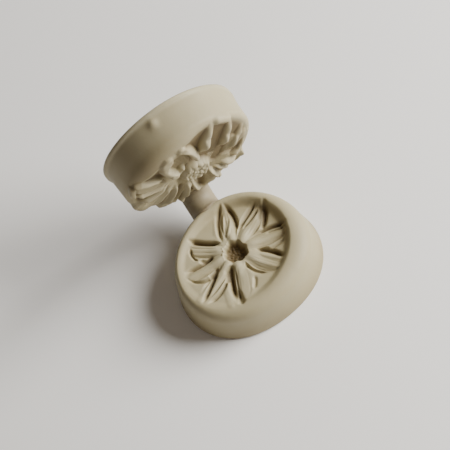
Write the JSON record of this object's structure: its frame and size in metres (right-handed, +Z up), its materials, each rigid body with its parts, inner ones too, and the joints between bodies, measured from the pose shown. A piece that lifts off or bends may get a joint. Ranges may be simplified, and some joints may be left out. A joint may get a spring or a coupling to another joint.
{
  "type": "flower veiner mold",
  "caption": "Folding silicone flower veiner: a dished half with a pressed flower and a half with the raised flower, joined by a flexible link.",
  "frame": {"origin": "on the flower axis of the recess half, at its flat back face", "axes": "+Z up out of the dish of the recess half, +X from the dish towards the link"},
  "size_m": [0.0354, 0.0303, 0.0397],
  "materials": {
    "recess_silicone": "matte cream beige cast silicone",
    "link_silicone": "matte cream beige cast silicone",
    "relief_silicone": "matte cream beige cast silicone"
  },
  "bodies": {
    "recess": {"recess_half": "recess_silicone"},
    "link": {"link_rod": "link_silicone"},
    "relief": {"relief_half": "relief_silicone"}
  },
  "joints": [
    {"name": "recess_bend", "type": "hinge", "parent": "recess", "child": "link", "pos_m": [0.01237, 0, 0.00608], "axis": [0, -1, 0], "range_deg": [-49.5, 40.5], "stiffness_Nm_per_rad": 0.026, "deforming": ["link_rod"]},
    {"name": "relief_bend", "type": "hinge", "parent": "link", "child": "relief", "pos_m": [0.01725, 0, 0.0118], "axis": [0, -1, 0], "range_deg": [-49.5, 40.5], "stiffness_Nm_per_rad": 0.026}
  ],
  "couplings": [
    {"joint": "relief_bend", "follows": "recess_bend", "ratio": 1}
  ]
}
